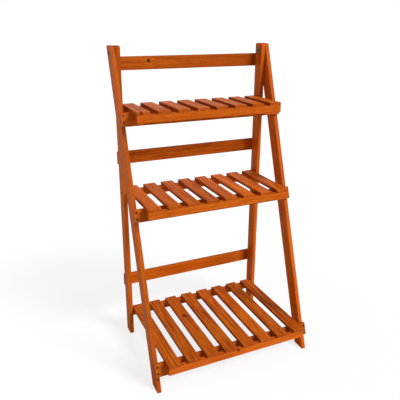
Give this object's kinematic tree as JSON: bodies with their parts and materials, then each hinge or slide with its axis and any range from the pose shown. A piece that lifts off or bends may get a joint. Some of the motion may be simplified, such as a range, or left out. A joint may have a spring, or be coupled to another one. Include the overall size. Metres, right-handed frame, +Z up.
{
  "type": "plant stand",
  "caption": "Folding tiered plant stand of stained wood: a leaning ladder frame hinged to an upright one, with slatted shelves that lift up.",
  "frame": {"origin": "centre of the footprint on the floor", "axes": "+Z up, -Y towards the front where the shelves step out, +X to the stand's right as seen from its front"},
  "size_m": [0.609, 0.4478, 1.1],
  "materials": {
    "stained_wood": "satin orange-brown stain on planed softwood",
    "zinc_steel": "dull zinc"
  },
  "bodies": {
    "rear_frame": {"rear_leg_left": "stained_wood", "rear_leg_right": "stained_wood", "rear_crossbar_top": "stained_wood", "rear_crossbar_upper": "stained_wood", "rear_crossbar_lower": "stained_wood", "rear_crossbar_screws": "zinc_steel", "pivot_bolts": "zinc_steel", "pivot_washers": "zinc_steel", "pivot_nuts": "zinc_steel"},
    "front_frame": {"front_leg_left": "stained_wood", "front_leg_right": "stained_wood", "front_crossbar_top": "stained_wood", "front_crossbar_middle": "stained_wood", "front_crossbar_bottom": "stained_wood", "front_crossbar_screws": "zinc_steel"},
    "top_shelf": {"top_hinge_screws": "zinc_steel", "top_hinge_washers": "zinc_steel", "top_shelf_brads": "zinc_steel", "top_shelf_front_rail": "stained_wood", "top_shelf_rear_rail": "stained_wood", "top_shelf_slat_1": "stained_wood", "top_shelf_slat_2": "stained_wood", "top_shelf_slat_3": "stained_wood", "top_shelf_slat_4": "stained_wood", "top_shelf_slat_5": "stained_wood", "top_shelf_slat_6": "stained_wood", "top_shelf_slat_7": "stained_wood", "top_shelf_slat_8": "stained_wood", "top_shelf_stops": "stained_wood"},
    "middle_shelf": {"middle_hinge_screws": "zinc_steel", "middle_hinge_washers": "zinc_steel", "middle_shelf_brads": "zinc_steel", "middle_shelf_front_rail": "stained_wood", "middle_shelf_rear_rail": "stained_wood", "middle_shelf_slat_1": "stained_wood", "middle_shelf_slat_2": "stained_wood", "middle_shelf_slat_3": "stained_wood", "middle_shelf_slat_4": "stained_wood", "middle_shelf_slat_5": "stained_wood", "middle_shelf_slat_6": "stained_wood", "middle_shelf_slat_7": "stained_wood", "middle_shelf_slat_8": "stained_wood", "middle_shelf_stops": "stained_wood"},
    "bottom_shelf": {"bottom_hinge_screws": "zinc_steel", "bottom_hinge_washers": "zinc_steel", "bottom_shelf_brads": "zinc_steel", "bottom_shelf_front_rail": "stained_wood", "bottom_shelf_rear_rail": "stained_wood", "bottom_shelf_slat_1": "stained_wood", "bottom_shelf_slat_2": "stained_wood", "bottom_shelf_slat_3": "stained_wood", "bottom_shelf_slat_4": "stained_wood", "bottom_shelf_slat_5": "stained_wood", "bottom_shelf_slat_6": "stained_wood", "bottom_shelf_slat_7": "stained_wood", "bottom_shelf_slat_8": "stained_wood", "bottom_shelf_stops": "stained_wood"}
  },
  "joints": [
    {"name": "front_frame_fold", "type": "hinge", "parent": "rear_frame", "child": "front_frame", "pos_m": [0, 0.18638, 1.075], "axis": [1, 0, 0], "range_deg": [0, 18.6]},
    {"name": "top_shelf_lift", "type": "hinge", "parent": "rear_frame", "child": "top_shelf", "pos_m": [0, 0.18638, 0.887], "axis": [-1, 0, 0], "range_deg": [0, 90]},
    {"name": "middle_shelf_lift", "type": "hinge", "parent": "rear_frame", "child": "middle_shelf", "pos_m": [0, 0.18638, 0.587], "axis": [-1, 0, 0], "range_deg": [0, 90]},
    {"name": "bottom_shelf_lift", "type": "hinge", "parent": "rear_frame", "child": "bottom_shelf", "pos_m": [0, 0.17588, 0.093], "axis": [-1, 0, 0], "range_deg": [0, 90]}
  ]
}
